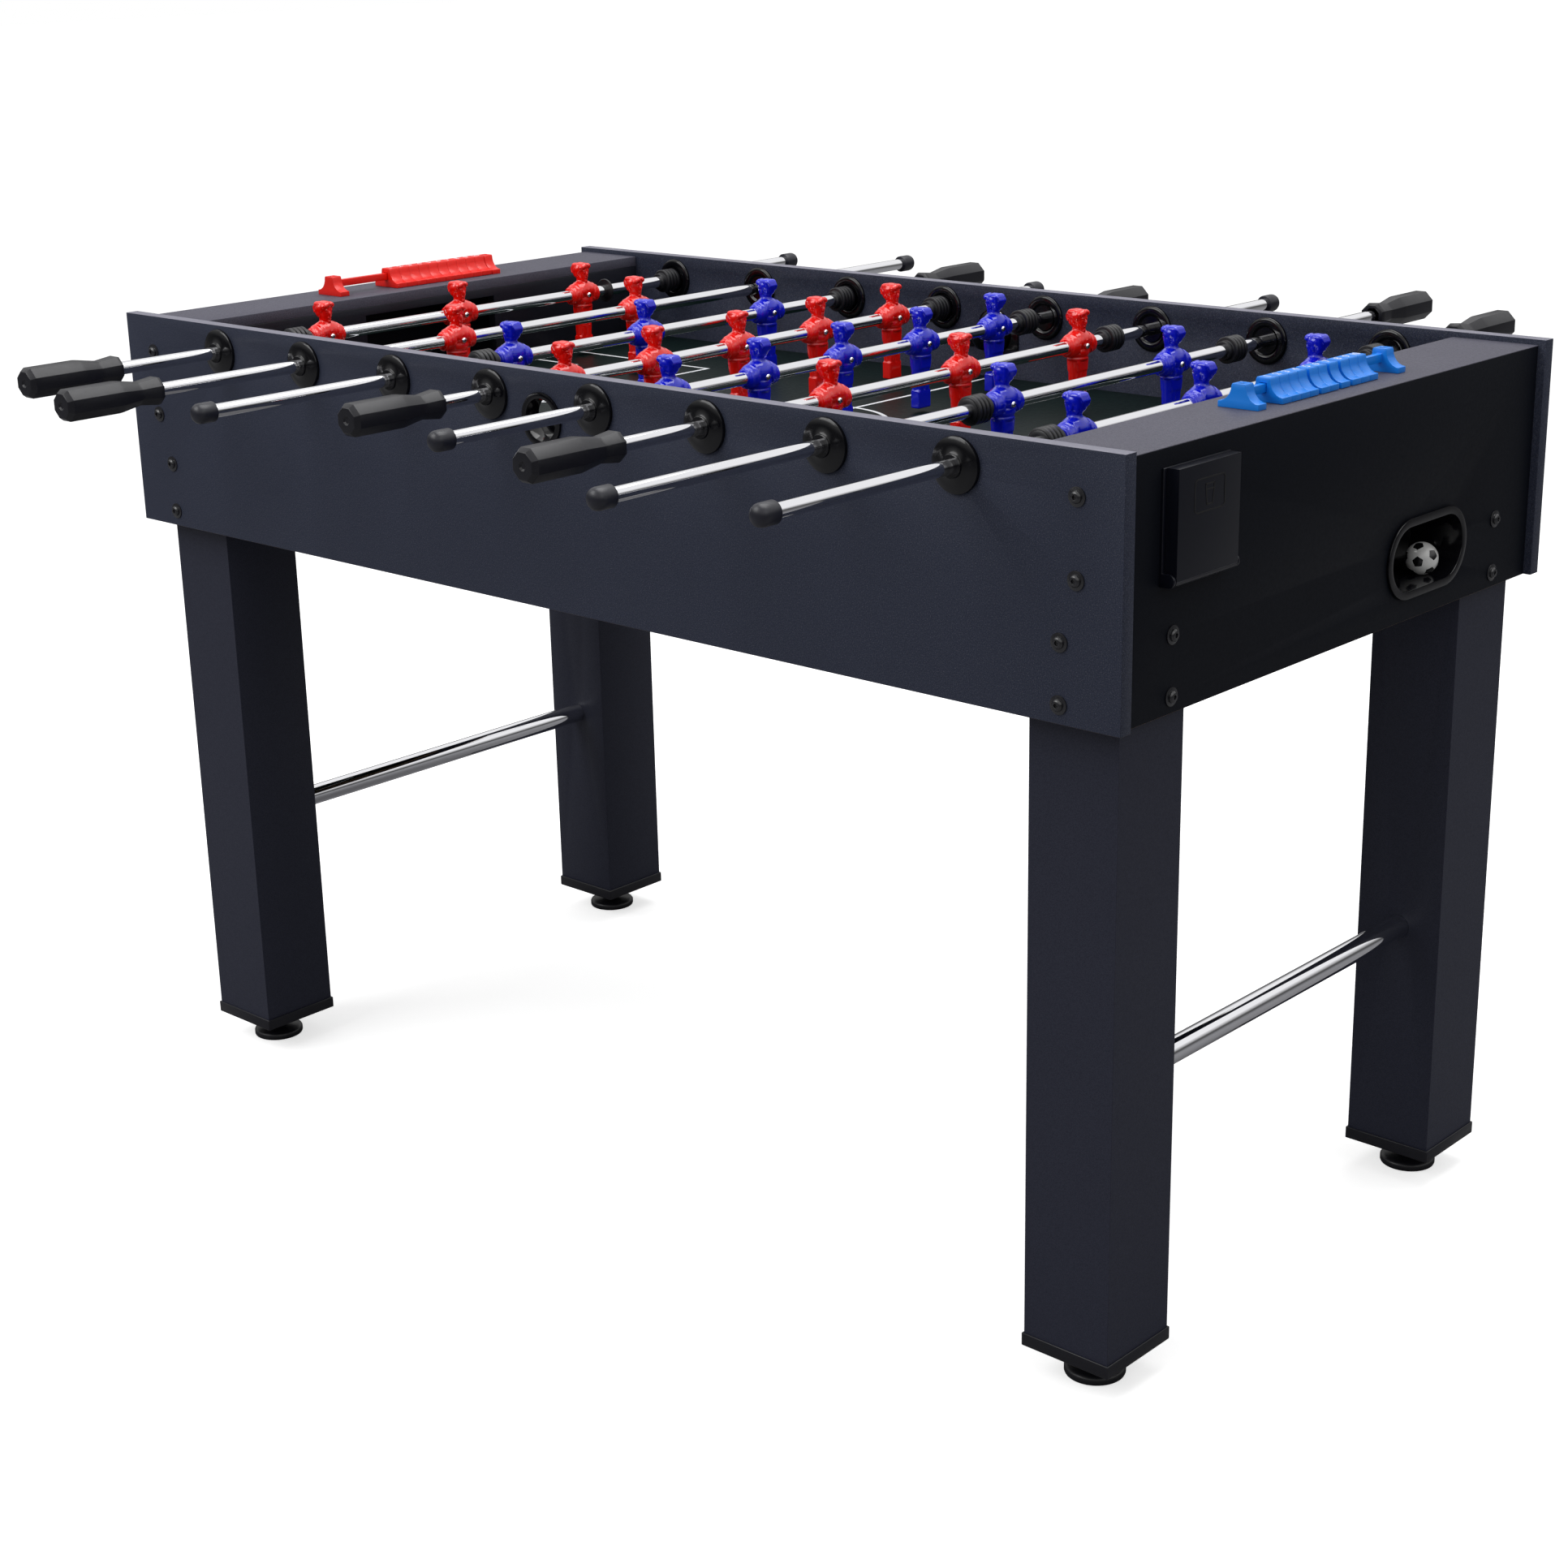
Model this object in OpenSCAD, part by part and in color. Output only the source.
// Foosball table, 54 inch class, with eight sliding and spinning player rods.
// Millimetres. Origin on the floor under the middle of the table.
// X runs along the length, Y across the width with the front at -Y, Z up.

/* [Cabinet] */
// length of the two long side panels
cab_l = 1370; // [1368:1:1650]
// width over the two long side panels
cab_w = 720; // [600:1:800]
// height of the side panels
panel_h = 236; // [210:1:280]
// floor to the top of the side panels
table_h = 886; // [760:1:960]
// thickness of the side panels
panel_t = 15; // [12:0.5:22]
// thickness of the end panels, rails and goal walls
end_t = 12; // [10:0.5:16]
// how far the end panels stand in from the side panel ends
end_inset = 8; // [2:0.5:20]
// how far the end rails sit below the side panel tops
rail_drop = 5.5; // [2:0.5:12]
// width of the flat rail at each end
rail_w = 93.5; // [80:0.5:110]
// thickness of the playing field board
field_t = 6; // [4:0.5:12]
// width of the goal mouth
goal_w = 200; // [150:1:230]
// height of the goal mouth
goal_h = 76; // [60:1:80]

/* [Legs] */
// square leg width
leg_w = 94.5; // [78:0.5:114]
// leg board thickness
leg_wall = 9; // [6:0.5:15]
// how far a leg reaches up inside the cabinet
leg_in = 95; // [60:1:110]
// packing board between leg and side panel
spacer_t = 12; // [6:0.5:18]
// clear height under the leg end caps
cap_z = 30.7; // [24:0.1:40]
// height of the leg end caps
cap_h = 13; // [10:0.5:20]
// leveler foot diameter
foot_d = 58; // [40:1:80]
// leveler travel
level_travel = 12; // [5:1:16]
// cross bar diameter
bar_d = 24; // [16:0.5:40]
// height of the cross bars above the floor
bar_z = 287; // [150:1:450]

/* [Rods] */
// rod diameter
rod_d = 13.5; // [12:0.1:18]
// goal wall to the axis of the first rod
goal_gap = 70.75; // [60:0.25:71]
// rod axis below the side panel tops
rod_drop = 29; // [26:0.5:40]
// side panel inner face to the grip end, five player rods
out_5 = 190; // [180:1:240]
// side panel inner face to the grip end, three player rods
out_3 = 243; // [230:1:300]
// side panel inner face to the grip end, two player rods
out_2 = 302; // [290:1:340]
// bearing flange diameter
flange_d = 50; // [40:1:56]
// bumper diameter
bumper_d = 28; // [22:0.5:34]
// bumper length
bumper_l = 28; // [16:0.5:36]

/* [Players] */
// side panel inner face to the outer player, five player rods
edge_5 = 90; // [80:0.5:100]
// side panel inner face to the outer player, three player rods
edge_3 = 146.5; // [130:0.5:155]
// side panel inner face to the outer player, two player rods
edge_2 = 206; // [190:0.5:225]
// player foot below the rod axis
foot_down = 69.5; // [60:0.5:70]
// player head above the rod axis
head_up = 39; // [34:0.5:46]
// width of a player at the rod
man_w = 44; // [36:0.5:50]

/* [Grips] */
// grip length
grip_l = 113; // [90:1:130]
// grip width across flats
grip_af = 31; // [26:0.5:38]
// end cap diameter
cap_d = 20; // [17:0.5:26]
// end cap length
cap_l = 23; // [16:0.5:30]

/* [Fittings] */
// ball diameter
ball_d = 32; // [28:0.5:36]
// clear hole of the ball entry
entry_d = 42; // [38:0.5:46]
// score counter thickness along the bar
counter_t = 15; // [10:0.5:18]
// score marker base width
marker_w = 42; // [30:1:50]
// score marker height
marker_h = 22; // [16:0.5:30]
// overall length of a score marker
marker_l = 250; // [230:1:280]
// cup holder door width
door_w = 98; // [80:1:120]
// cup holder door height
door_h = 100; // [86:1:104]
// ball return bezel length
tray_l = 146; // [110:1:150]
// ball return bezel height
tray_h = 78; // [60:1:84]

/* [Hidden] */
$fn = 64;

// clearances
run_gap = 0.05;
slip_gap = 0.5;
cut = 1;

// rod layout, one entry for each rod from the red end to the blue end
players = [3, 2, 3, 5, 5, 3, 2, 3];
men_mid = [-17, -10, 0, -5, -3, 10, 30, 5];
rod_mid = [-17, -10, 3, -5, -5, 3, 24, 0];
grip_front = [1, 1, 0, 1, 0, 1, 0, 0];
faces_blue = [1, 1, -1, 1, -1, 1, -1, -1];
// far bumper: 0 none, 1 against the wall, 2 on the rod beside the player, 3 parked on the rod
far_kind = [1, 0, 1, 1, 2, 2, 3, 3];
far_gap = [0, 0, 0, 0, 15, 17.5, 70, 70];
near_gap = 3;
// near bumper: 1 on the rod beside the player, 0 against the front wall
near_kind = [1, 0, 1, 1, 1, 0, 1, 1];
// extra rod length at the front end of the rods held from the back
cap_out = 22;

// cabinet levels and faces
panel_z = table_h - panel_h;
in_y = cab_w / 2 - panel_t;
end_x = cab_l / 2 - end_inset;
end_in = end_x - end_t;
rail_top = table_h - rail_drop;
rail_z = rail_top - end_t;
lip_t = 1;
goal_x = end_x - rail_w;
rod_z = table_h - rod_drop;
foot_gap = 4.5;
field_top = rod_z - foot_down - foot_gap;
field_z = field_top - field_t;
field_x = goal_x + end_t + 1.5;
ledger_h = 30;
batten_w = 18;
batten_gap = 0.2;
block_w = 40;
block_l = 53;
block_z = panel_z + leg_in + 5;

// legs
leg_x = end_in - leg_w / 2;
leg_y = in_y - spacer_t - leg_w / 2;
leg_top = panel_z + leg_in;
cap_floor = 3;
cap_over = 1.8;
cap_gap = 0.1;
stud_r = 5;
boss_r = 9;
boss_h = 16;

// rods
rod_pitch = 2 * (goal_x - goal_gap) / 7;
rod_r = rod_d / 2;
bore_r = rod_r + run_gap;
rod_wall = 2;
tube_r = rod_r - rod_wall;
barrel_r = 14;
flange_t = 3;
collar_t = 3;
collar_r = 10;
nut_t = 4;
wall_y = in_y - nut_t;
near_grip = 70;
cap_depth = 20;
screw_r = 1.6;
screw_head_r = 3;
screw_head_h = 1.6;
chest_r = 13.5;
bumper_collar_r = 10;
bumper_collar_l = 6;
bumper_core_r = 11.5;
rib_count = 4;
washer_l = 2.5;
washer_gap = 16;

// bolts
bolt_r = 3;
bolt_hole_r = 3.1;
head_r = 5.4;
head_h = 3.4;
plate_r = 8.5;
plate_h = 1.2;
leg_nut_r = 5.8;
leg_nut_h = 5;
corner_bolt_x = cab_l / 2 - 47;
corner_bolt_z = [table_h - 40, table_h - 110];
leg_bolt_x = leg_x + 4;
leg_bolt_z = [panel_z + 71, panel_z + 17];
end_bolt_z = [panel_z + 69, panel_z + 15];
end_bolt_y = leg_y - 9;

// ball entry
entry_z = table_h - 47;
entry_r = entry_d / 2;
entry_wall = 2;
entry_hole_r = entry_r + entry_wall;
entry_flange_r = entry_hole_r + 4;
cup_r = entry_r + 6;
cup_z = entry_z - 4;
cup_floor_z = entry_z - entry_r;
cup_tab_y = 36;

// ball return
tray_y = leg_y - leg_w / 2 - 20.5 - tray_l / 2;
tray_z = panel_z + 60;
bezel_w = 8;
bezel_t = 3;
tray_wall = 2;
tray_depth = 56;
chute_t = 2;
chute_lip = 8;
chute_w = end_in - field_x - 8;
chute_drop = 18;
inlet_l = 42;

// score markers
marker_x = goal_x + rail_w / 2 - 0.5;
marker_y = 10;
marker_end = 13;
rail_bar_w = 6;
rail_bar_h = 8;
rail_bar_z = 9;
marker_top_w = 15;
counter_lift = 0.3;
counter_count = 10;
blue_groups = [0, 0, 0, 0, 1, 1, 2, 3, 3, 3];
group_gap = 4;
blue_start = 26;
red_start = 73;

// cup holders
door_y = 96 - in_y;
door_z = panel_z + 114;
door_t = 12;
bracket_t = 2.5;
lug_t = 3;
pin_r = 2;
coaster_d = 74;
coaster_t = 8;
hinge_r = door_t / 2;
hinge_x = end_x + bracket_t + slip_gap + hinge_r;

function rod_x(i) = (i - 3.5) * rod_pitch;
function by_count(i, five, three, two) = players[i] == 5 ? five : players[i] == 3 ? three : two;
function reach(i) = in_y + by_count(i, out_5, out_3, out_2);
function cap_reach(i) = reach(i) + (grip_front[i] == 1 ? 0 : cap_out);
function spacing(i) = 2 * (in_y - by_count(i, edge_5, edge_3, edge_2)) / (players[i] - 1);
function man_y(i, k) = men_mid[i] + (k - (players[i] - 1) / 2) * spacing(i);
function last_y(i) = men_mid[i] + (players[i] - 1) / 2 * spacing(i) + man_w / 2;
function first_y(i) = men_mid[i] - (players[i] - 1) / 2 * spacing(i) - man_w / 2;

module box(x0, x1, y0, y1, z0, z1) {
  translate([x0, y0, z0]) cube([x1 - x0, y1 - y0, z1 - z0]);
}

// a cylinder along +Y starting at y0
module y_rod(r, y0, y1) {
  translate([0, y0, 0]) rotate([-90, 0, 0]) cylinder(r = r, h = y1 - y0);
}

module y_cone(r0, r1, y0, y1) {
  translate([0, y0, 0]) rotate([-90, 0, 0]) cylinder(r1 = r0, r2 = r1, h = y1 - y0);
}

module both_ends() {
  children();
  rotate([0, 0, 180]) children();
}

module four() {
  for (sx = [0, 1], sy = [0, 1]) mirror([sx, 0, 0]) mirror([0, sy, 0]) children();
}

// a stadium outline lying in the YZ plane and pushed out along +X
module stadium(l, h, x0, x1) {
  translate([x0, tray_y, tray_z])
    rotate([90, 0, 90])
      linear_extrude(height = x1 - x0) {
        square([l - h, h], center = true);
        translate([(l - h) / 2, 0]) circle(d = h);
        translate([-(l - h) / 2, 0]) circle(d = h);
      }
}

// ---------- cabinet ----------
module side_panel() {
  difference() {
    box(-cab_l / 2, cab_l / 2, -cab_w / 2, -in_y, panel_z, table_h);
    for (i = [0 : 7])
      translate([rod_x(i), 0, rod_z])
        y_rod(barrel_r, -cab_w / 2 - cut, -in_y + cut);
    translate([0, 0, entry_z]) y_rod(entry_hole_r, -cab_w / 2 - cut, -in_y + cut);
    for (s = [-1, 1]) {
      for (z = corner_bolt_z)
        translate([s * corner_bolt_x, 0, z]) y_rod(bolt_hole_r, -cab_w / 2 - cut, -in_y + cut);
      for (z = leg_bolt_z)
        translate([s * leg_bolt_x, 0, z]) y_rod(bolt_hole_r, -cab_w / 2 - cut, -in_y + cut);
    }
  }
}

module side_panel_front() {
  color([0.15, 0.15, 0.2]) side_panel();
}

module side_panel_back() {
  color([0.15, 0.15, 0.2]) mirror([0, 1, 0]) side_panel();
}

module end_panel() {
  difference() {
    box(end_in, end_x, -in_y, in_y, panel_z, rail_top - lip_t);
    stadium(tray_l - 2 * bezel_w + 2 * tray_wall + 1, tray_h - 2 * bezel_w + 2 * tray_wall + 1,
            end_in - cut, end_x + cut);
    for (s = [-1, 1], z = end_bolt_z)
      translate([0, s * end_bolt_y, z])
        rotate([0, 0, -90]) y_rod(bolt_hole_r, end_in - cut, end_x + cut);
  }
}

module end_panel_right() {
  color([0.1, 0.1, 0.14]) end_panel();
}

module end_panel_left() {
  color([0.1, 0.1, 0.14]) rotate([0, 0, 180]) end_panel();
}

module end_rails() {
  color([0.5, 0.5, 0.55]) both_ends() {
    box(goal_x, end_in, -in_y, in_y, rail_z, rail_top);
    box(goal_x, end_x, -in_y, in_y, rail_top - lip_t, rail_top);
  }
}

module goal_walls() {
  color([0.1, 0.1, 0.13]) both_ends() difference() {
    box(goal_x, goal_x + end_t, -in_y, in_y, field_top, rail_z);
    box(goal_x - cut, goal_x + end_t + cut, -goal_w / 2, goal_w / 2, field_top - cut, field_top + goal_h);
  }
}

module playfield() {
  color([0.05, 0.11, 0.11])
    box(-field_x, field_x, -in_y, in_y, field_z, field_top);
}

module playfield_supports() {
  color([0.6, 0.5, 0.38]) {
    for (s = [-1, 1]) {
      mirror([0, s < 0 ? 1 : 0, 0])
        box(-leg_x + leg_w / 2, leg_x - leg_w / 2, in_y - spacer_t, in_y, field_z - ledger_h, field_z);
    }
    for (i = [-1 : 1])
      box(i * 300 - batten_w / 2, i * 300 + batten_w / 2,
          -in_y + spacer_t + batten_gap, in_y - spacer_t - batten_gap, field_z - ledger_h, field_z);
    four() difference() {
      box(end_in - block_l, end_in, in_y - block_w, in_y, block_z, rail_z);
      for (z = corner_bolt_z)
        translate([corner_bolt_x, 0, z]) y_rod(bolt_hole_r, in_y - block_w - cut, in_y + cut);
    }
    four() difference() {
      box(leg_x - leg_w / 2, leg_x + leg_w / 2, in_y - spacer_t, in_y, panel_z, leg_top);
      for (z = leg_bolt_z)
        translate([leg_bolt_x, 0, z]) y_rod(bolt_hole_r, in_y - spacer_t - cut, in_y + cut);
    }
  }
}

// ---------- ball path ----------
module ball_return() {
  l_in = tray_l - 2 * bezel_w;
  h_in = tray_h - 2 * bezel_w;
  back_x = end_x - tray_depth;
  difference() {
    union() {
      stadium(tray_l, tray_h, end_x, end_x + bezel_t);
      stadium(l_in + 2 * tray_wall, h_in + 2 * tray_wall, back_x, end_x + bezel_t);
    }
    stadium(l_in, h_in, back_x + tray_wall, end_x + bezel_t + cut);
    box(back_x + tray_wall, end_in - slip_gap, tray_y - inlet_l / 2, tray_y + inlet_l / 2, tray_z, tray_z + tray_h);
  }
}

module ball_chute() {
  run = goal_w / 2 + tray_y - inlet_l / 2;
  top_z = field_z - 2;
  x0 = field_x + 4;
  translate([x0, 0, 0]) rotate([90, 0, 90]) linear_extrude(height = chute_w)
    polygon([[-goal_w / 2, top_z - chute_t - chute_lip], [-goal_w / 2, top_z - chute_lip],
             [tray_y - inlet_l / 2, top_z - chute_lip - chute_drop],
             [tray_y - inlet_l / 2, top_z - chute_lip - chute_drop - chute_t]]);
  for (x = [x0, x0 + chute_w - chute_t])
    translate([x, 0, 0]) rotate([90, 0, 90]) linear_extrude(height = chute_t)
      polygon([[-goal_w / 2, top_z - chute_t - chute_lip], [-goal_w / 2, top_z],
               [tray_y - inlet_l / 2, top_z - chute_drop],
               [tray_y - inlet_l / 2, top_z - chute_lip - chute_drop - chute_t]]);
}

module ball_returns() {
  color([0.04, 0.04, 0.05]) both_ends() {
    ball_return();
    ball_chute();
  }
}

module ball_entry_cup() {
  difference() {
    union() {
      translate([0, 0, entry_z]) {
        y_rod(entry_flange_r, -cab_w / 2 - 2.5, -cab_w / 2);
        y_rod(entry_hole_r, -cab_w / 2 - 1, -in_y);
      }
      intersection() {
        translate([0, -in_y, cup_z]) sphere(r = cup_r);
        box(-cup_r, cup_r, -in_y, -in_y + cup_r, cup_floor_z - entry_wall, cup_z);
      }
      box(-cup_tab_y, cup_tab_y, -in_y, -in_y + 2, cup_floor_z - entry_wall, cup_z);
    }
    intersection() {
      translate([0, -in_y, cup_z]) sphere(r = cup_r - entry_wall);
      box(-cup_r, cup_r, -in_y - 1, -in_y + cup_r, cup_floor_z, cup_z + cut);
    }
    translate([0, 0, entry_z]) y_rod(entry_r, -cab_w / 2 - 4, -in_y + 4);
  }
}

module ball_entry_cups() {
  color([0.05, 0.05, 0.06]) both_ends() ball_entry_cup();
}

module ball() {
  color([0.92, 0.92, 0.9])
    translate([end_x - 22, tray_y + 32, tray_z - tray_h / 2 + bezel_w + ball_d / 2 + 0.05])
      sphere(d = ball_d);
}

// ---------- legs ----------
module legs() {
  color([0.17, 0.18, 0.23]) four() difference() {
    box(leg_x - leg_w / 2, leg_x + leg_w / 2, leg_y - leg_w / 2, leg_y + leg_w / 2,
        cap_z + cap_floor, leg_top);
    box(leg_x - leg_w / 2 + leg_wall, leg_x + leg_w / 2 - leg_wall,
        leg_y - leg_w / 2 + leg_wall, leg_y + leg_w / 2 - leg_wall, cap_z, leg_top + cut);
    translate([leg_x, 0, bar_z]) y_rod(bar_d / 2 + run_gap, leg_y - leg_w / 2 - cut, leg_y);
    for (z = leg_bolt_z)
      translate([leg_bolt_x, 0, z]) y_rod(bolt_hole_r, leg_y, leg_y + leg_w / 2 + cut);
    for (z = end_bolt_z)
      translate([0, end_bolt_y, z]) rotate([0, 0, -90]) y_rod(bolt_hole_r, leg_x, end_in + cut);
  }
}

module leg_end_caps() {
  color([0.04, 0.04, 0.05]) four() translate([leg_x, leg_y, 0]) difference() {
    union() {
      h = leg_w / 2 + cap_over;
      box(-h, h, -h, h, cap_z, cap_z + cap_h);
      translate([0, 0, cap_z]) cylinder(r = boss_r, h = boss_h);
    }
    difference() {
      g = leg_w / 2 + cap_gap;
      box(-g, g, -g, g, cap_z + cap_floor, cap_z + cap_h + cut);
      translate([0, 0, cap_z]) cylinder(r = boss_r, h = boss_h);
    }
    translate([0, 0, cap_z - cut]) cylinder(r = stud_r + run_gap, h = boss_h + 2 * cut);
  }
}

module leveler(sx, sy) {
  color([0.06, 0.06, 0.07]) translate([sx * leg_x, sy * leg_y, 0]) {
    cylinder(d = foot_d, h = 7);
    translate([0, 0, 7]) cylinder(d1 = foot_d, d2 = foot_d - 8, h = 3);
    translate([0, 0, 10]) cylinder(d1 = 26, d2 = 16, h = 8);
    cylinder(r = stud_r, h = cap_z + boss_h + 10);
    translate([0, 0, cap_z - 8.2]) cylinder(r = 9.8, h = 8, $fn = 6);
  }
}

module cross_bars() {
  color([0.8, 0.8, 0.83]) for (s = [-1, 1]) translate([s * leg_x, 0, bar_z]) difference() {
    half = leg_y - leg_w / 2 + leg_wall;
    y_rod(bar_d / 2, -half, half);
    y_rod(bar_d / 2 - 1.5, -half - cut, half + cut);
  }
}

// ---------- rods ----------
module rod_bearing() {
  difference() {
    union() {
      y_cone(flange_d / 2 - 2, flange_d / 2, -cab_w / 2 - flange_t, -cab_w / 2);
      y_rod(collar_r, -cab_w / 2 - flange_t - collar_t, -cab_w / 2);
      y_rod(barrel_r, -cab_w / 2, -in_y + 3);
    }
    y_rod(bore_r, -cab_w / 2 - 20, -in_y + 20);
  }
  difference() {
    y_cone(flange_d / 2, flange_d / 2 - 1.5, -in_y, -in_y + nut_t);
    y_rod(barrel_r, -in_y - cut, -in_y + nut_t + cut);
  }
}

module rod_bearings() {
  color([0.03, 0.03, 0.04]) for (i = [0 : 7], s = [0, 1])
    translate([rod_x(i), 0, rod_z]) mirror([0, s, 0]) rod_bearing();
}

// ribbed bumper from y = 0 to bumper_l with its collar at y = 0
module bumper() {
  rib_pitch = (bumper_l - bumper_collar_l) / rib_count;
  difference() {
    union() {
      y_rod(bumper_collar_r, 0, bumper_collar_l);
      y_rod(bumper_core_r, bumper_collar_l, bumper_l);
      for (k = [0 : rib_count - 1])
        y_rod(bumper_d / 2, bumper_collar_l + k * rib_pitch, bumper_collar_l + (k + 0.75) * rib_pitch);
    }
    y_rod(bore_r, -cut, bumper_l + cut);
  }
}

module wall_bumpers() {
  color([0.05, 0.05, 0.06]) for (i = [0 : 7]) translate([rod_x(i), 0, rod_z]) {
    if (far_kind[i] == 1) translate([0, wall_y - bumper_l, 0]) bumper();
    if (far_kind[i] == 3) translate([0, last_y(i) + far_gap[i], 0]) bumper();
    if (near_kind[i] == 0) translate([0, bumper_l - wall_y, 0]) mirror([0, 1, 0]) bumper();
  }
}

module rod_bumpers(i) {
  color([0.05, 0.05, 0.06]) translate([rod_x(i), 0, rod_z]) {
    if (near_kind[i] == 1) translate([0, first_y(i) - near_gap, 0]) mirror([0, 1, 0]) bumper();
    if (far_kind[i] == 2) translate([0, last_y(i) + far_gap[i], 0]) bumper();
    if (i == 0) translate([0, last_y(i) + washer_gap, 0]) difference() {
      y_rod(bumper_d / 2, 0, washer_l);
      y_rod(bore_r, -cut, washer_l + cut);
    }
  }
}

module rod(i) {
  r = reach(i);
  y0 = grip_front[i] == 1 ? -r + grip_l - near_grip : -cap_reach(i) + cap_l - cap_depth;
  y1 = grip_front[i] == 1 ? r - cap_l + cap_depth : r - grip_l + near_grip;
  color([0.85, 0.85, 0.88]) translate([rod_x(i), 0, rod_z]) {
    difference() {
      translate([0, rod_mid[i], 0]) y_rod(rod_r, y0, y1);
      translate([0, rod_mid[i], 0]) y_rod(tube_r, y0 - cut, y1 + cut);
      for (k = [0 : players[i] - 1])
        translate([0, man_y(i, k), 0]) rotate([0, 90, 0]) cylinder(r = screw_r, h = rod_d);
    }
    for (k = [0 : players[i] - 1])
      translate([0, man_y(i, k), 0]) rotate([0, 90, 0]) {
        translate([0, 0, tube_r - 1]) cylinder(r = screw_r, h = chest_r - tube_r + 1);
        translate([0, 0, chest_r]) cylinder(r1 = screw_head_r, r2 = screw_head_r - 1, h = screw_head_h);
      }
  }
}

module man() {
  difference() {
    union() {
      translate([0, 0, 12]) cylinder(r1 = 9, r2 = 11.5, h = head_up - 18);
      translate([0, 0, head_up - 6]) cylinder(r1 = 11.5, r2 = 8, h = 6);
      y_rod(chest_r, -18.5, 18.5);
      translate([0, 0, 3]) y_rod(chest_r - 0.5, -16.5, 16.5);
      y_rod(12, -man_w / 2, man_w / 2);
      translate([0, 0, -foot_down + 17]) cylinder(r1 = 8.2, r2 = 12, h = foot_down - 23);
      box(-6, 6, -10.2, 10.2, -foot_down, -foot_down + 20);
    }
    y_rod(bore_r, -man_w, man_w);
    rotate([0, 90, 0]) cylinder(r = screw_r, h = 2 * chest_r);
    translate([chest_r, -5, -5]) cube(10);
  }
}

module men(i) {
  team = faces_blue[i] == 1 ? [0.9, 0.1, 0.06] : [0.1, 0.16, 0.78];
  color(team) translate([rod_x(i), 0, rod_z])
    for (k = [0 : players[i] - 1]) translate([0, man_y(i, k), 0]) man();
}

// eight sided grip from its outer end at y = 0 to its inner end at grip_l
module grip() {
  f = grip_af / 2;
  sides = 8;
  stations = [[f * 0.77, 0], [f, 5], [f, grip_l * 0.56], [f * 0.74, grip_l * 0.78],
              [f * 0.9, grip_l * 0.965], [f * 0.72, grip_l]];
  rings = len(stations);
  corners = [for (s = stations, k = [0 : sides - 1])
    let (a = 360 / sides * (k + 0.5), r = s[0] / cos(180 / sides)) [r * cos(a), s[1], r * sin(a)]];
  walls = [for (j = [0 : rings - 2], k = [0 : sides - 1])
    let (a = j * sides + k, b = j * sides + (k + 1) % sides) [a, b, b + sides, a + sides]];
  difference() {
    polyhedron(corners, concat(walls, [[for (k = [sides - 1 : -1 : 0]) k]],
                               [[for (k = [0 : sides - 1]) (rings - 1) * sides + k]]));
    y_rod(bore_r, grip_l - near_grip, grip_l + cut);
    y_cone(4, 2.5, -0.01, 1.5);
  }
}

// rod end cap from its domed end at y = 0 to cap_l
module rod_cap() {
  difference() {
    union() {
      y_cone(cap_d / 2 - 3, cap_d / 2, 0, 3);
      y_rod(cap_d / 2, 3, cap_l);
    }
    y_rod(bore_r, cap_l - cap_depth, cap_l + cut);
  }
}

module end_cap(i) {
  color([0.06, 0.06, 0.08]) translate([rod_x(i), rod_mid[i], rod_z])
    mirror([0, 1 - grip_front[i], 0])
      translate([0, cap_reach(i), 0]) mirror([0, 1, 0]) rod_cap();
}

// the cap of rod 2 is a piece of its own and turns freely on its rod
module grips(i) {
  color([0.06, 0.06, 0.08]) translate([rod_x(i), rod_mid[i], rod_z])
    mirror([0, 1 - grip_front[i], 0]) translate([0, -reach(i), 0]) grip();
  if (i != 1) end_cap(i);
}

// ---------- score markers ----------
// trapezoid with hollow flanks, pushed out along +Y
module marker_profile(l) {
  h = marker_h;
  w = marker_w / 2;
  t = marker_top_w / 2;
  foot_h = h * 0.25;
  brow_h = h * 0.92;
  flank = [for (a = [0 : 15 : 90]) [w - (w - t) * sin(a), foot_h + (brow_h - foot_h) * (1 - cos(a))]];
  n = len(flank);
  outline = concat([[-w, 0], [w, 0]], flank, [[t - 1, h], [1 - t, h]],
                   [for (k = [n - 1 : -1 : 0]) [-flank[k][0], flank[k][1]]]);
  rotate([90, 0, 0]) translate([0, 0, -l]) linear_extrude(height = l) polygon(outline);
}

module score_bar() {
  difference() {
    union() {
      for (y = [0, marker_l - marker_end]) translate([0, y, 0]) marker_profile(marker_end);
      box(-rail_bar_w / 2, rail_bar_w / 2, 0, marker_l, rail_bar_z, rail_bar_z + rail_bar_h);
    }
    for (y = [marker_end / 2, marker_l - marker_end / 2]) translate([0, y, 0]) {
      translate([0, 0, -cut]) cylinder(r = 1.8, h = marker_h + 2 * cut);
      translate([0, 0, marker_h - 3]) cylinder(r = 3.5, h = 3 + cut);
    }
  }
}

module counter() {
  g = 0.5;
  difference() {
    translate([0, 0.1, counter_lift]) marker_profile(counter_t - 0.2);
    box(-rail_bar_w / 2 - g, rail_bar_w / 2 + g, -cut, counter_t + cut, rail_bar_z - g, rail_bar_z + rail_bar_h + g);
  }
}

module at_marker(s) {
  translate([s * marker_x, marker_y - marker_l / 2, rail_top]) children();
}

module score_bar_red() {
  color([0.9, 0.1, 0.06]) at_marker(-1) score_bar();
}

module score_bar_blue() {
  color([0.14, 0.55, 0.94]) at_marker(1) score_bar();
}

module counters_red() {
  color([0.9, 0.1, 0.06]) at_marker(-1)
    for (k = [0 : counter_count - 1])
      translate([0, marker_end + red_start + k * counter_t, 0]) counter();
}

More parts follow.
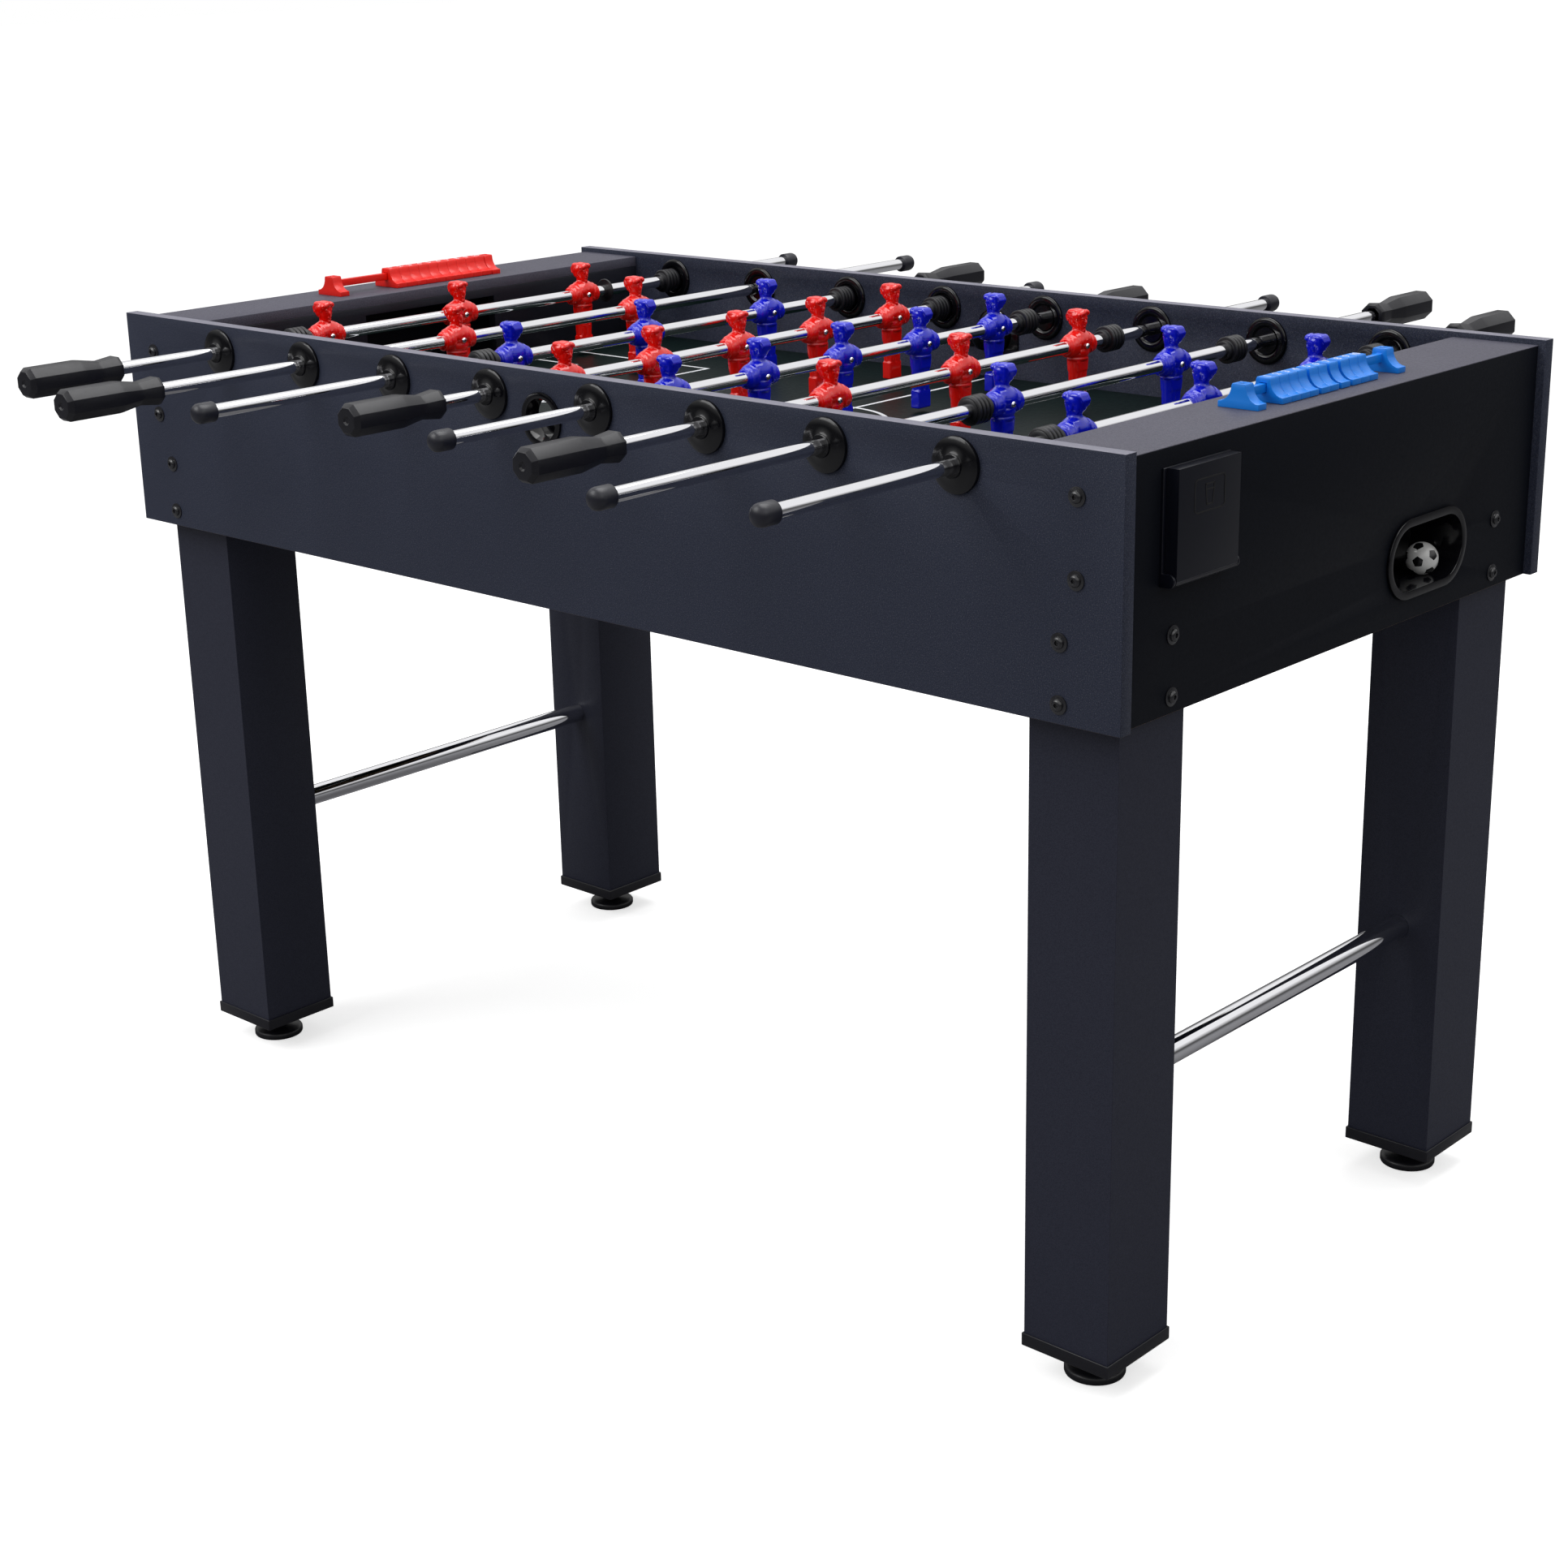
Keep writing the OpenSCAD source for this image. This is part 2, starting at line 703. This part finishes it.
module counters_blue() {
  color([0.14, 0.55, 0.94]) at_marker(1)
    for (k = [0 : counter_count - 1])
      translate([0, marker_end + blue_start + k * counter_t + blue_groups[k] * group_gap, 0]) counter();
}

// ---------- cup holders ----------
module cup_holder() {
  y0 = door_y - door_w / 2 + lug_t + slip_gap;
  y1 = door_y + door_w / 2 - lug_t - slip_gap;
  z_pin = door_z + hinge_r;
  difference() {
    union() {
      box(hinge_x - hinge_r, hinge_x + hinge_r, y0, y1, z_pin, door_z + door_h);
      translate([hinge_x, 0, z_pin]) y_rod(hinge_r, y0, y1);
    }
    translate([hinge_x, 0, z_pin]) y_rod(pin_r + run_gap, y0 - cut, y1 + cut);
    translate([hinge_x - hinge_r - cut, door_y, door_z + door_h / 2 + 5])
      rotate([0, 90, 0]) cylinder(d = coaster_d, h = coaster_t + cut);
  }
}

module cup_holder_right() {
  color([0.07, 0.07, 0.09]) cup_holder();
}

module cup_holder_left() {
  color([0.07, 0.07, 0.09]) rotate([0, 0, 180]) cup_holder();
}

module cup_holder_brackets() {
  y0 = door_y - door_w / 2;
  y1 = door_y + door_w / 2;
  z_pin = door_z + hinge_r;
  color([0.07, 0.07, 0.09]) both_ends() {
    box(end_x, end_x + bracket_t, y0, y1, door_z, door_z + door_h);
    for (y = [y0, y1 - lug_t]) {
      box(end_x, hinge_x, y, y + lug_t, door_z, z_pin + hinge_r);
      translate([hinge_x, 0, z_pin]) y_rod(hinge_r, y, y + lug_t);
    }
    translate([hinge_x, 0, z_pin]) y_rod(pin_r, y0, y1);
  }
}

// ---------- bolts ----------
// bolt along +Y with its washer face at y = 0
module bolt(l) {
  difference() {
    union() {
      y_rod(bolt_r, 0, l);
      y_rod(plate_r, -plate_h, 0);
      y_cone(head_r - 1.6, head_r, -plate_h - head_h, -plate_h - head_h + 1.6);
      y_rod(head_r, -plate_h - head_h + 1.6, -plate_h);
    }
    translate([0, -plate_h - head_h - cut, 0]) rotate([-90, 0, 0])
      cylinder(r = 2.3, h = 2.2 + cut, $fn = 6);
  }
}

module leg_nut(y) {
  difference() {
    translate([0, y, 0]) rotate([-90, 0, 0]) cylinder(r = leg_nut_r, h = leg_nut_h, $fn = 6);
    y_rod(bolt_r, y - cut, y + leg_nut_h + cut);
  }
}

module cabinet_bolts() {
  side_l = panel_t + spacer_t + leg_wall + leg_nut_h + 3;
  end_l = end_t + leg_wall + leg_nut_h + 3;
  color([0.1, 0.1, 0.11]) {
    four() {
      for (z = corner_bolt_z)
        translate([corner_bolt_x, cab_w / 2, z]) mirror([0, 1, 0]) bolt(panel_t + 25);
      for (z = leg_bolt_z)
        translate([leg_bolt_x, cab_w / 2, z]) mirror([0, 1, 0]) {
          bolt(side_l);
          leg_nut(panel_t + spacer_t + leg_wall);
        }
      for (z = end_bolt_z)
        translate([end_x, end_bolt_y, z]) rotate([0, 0, 90]) {
          bolt(end_l);
          leg_nut(end_t + leg_wall);
        }
    }
    for (s = [-1, 1], y = [marker_end / 2, marker_l - marker_end / 2])
      at_marker(s) translate([0, y, marker_h - 3]) cylinder(r = 3.2, h = 2);
  }
}

// ---------- drawing ----------
side_panel_front();
side_panel_back();
end_panel_left();
end_panel_right();
end_rails();
goal_walls();
playfield();
playfield_supports();
ball_returns();
ball_entry_cups();
legs();
leg_end_caps();
leveler(-1, -1);  // leveler_front_left
leveler(1, -1);  // leveler_front_right
leveler(-1, 1);  // leveler_back_left
leveler(1, 1);  // leveler_back_right
cross_bars();
rod_bearings();
wall_bumpers();
cabinet_bolts();
score_bar_red();
score_bar_blue();
counters_red();
counters_blue();
cup_holder_left();
cup_holder_right();
cup_holder_brackets();
ball();
rod(0);  // rod_1
rod(1);  // rod_2
rod(2);  // rod_3
rod(3);  // rod_4
rod(4);  // rod_5
rod(5);  // rod_6
rod(6);  // rod_7
rod(7);  // rod_8
men(0);  // men_1
men(1);  // men_2
men(2);  // men_3
men(3);  // men_4
men(4);  // men_5
men(5);  // men_6
men(6);  // men_7
men(7);  // men_8
grips(0);  // grips_1
grips(1);  // grips_2
grips(2);  // grips_3
grips(3);  // grips_4
grips(4);  // grips_5
grips(5);  // grips_6
grips(6);  // grips_7
grips(7);  // grips_8
rod_bumpers(0);  // bumpers_1
end_cap(1);  // end_cap_2
rod_bumpers(2);  // bumpers_3
rod_bumpers(3);  // bumpers_4
rod_bumpers(4);  // bumpers_5
rod_bumpers(5);  // bumpers_6
rod_bumpers(6);  // bumpers_7
rod_bumpers(7);  // bumpers_8
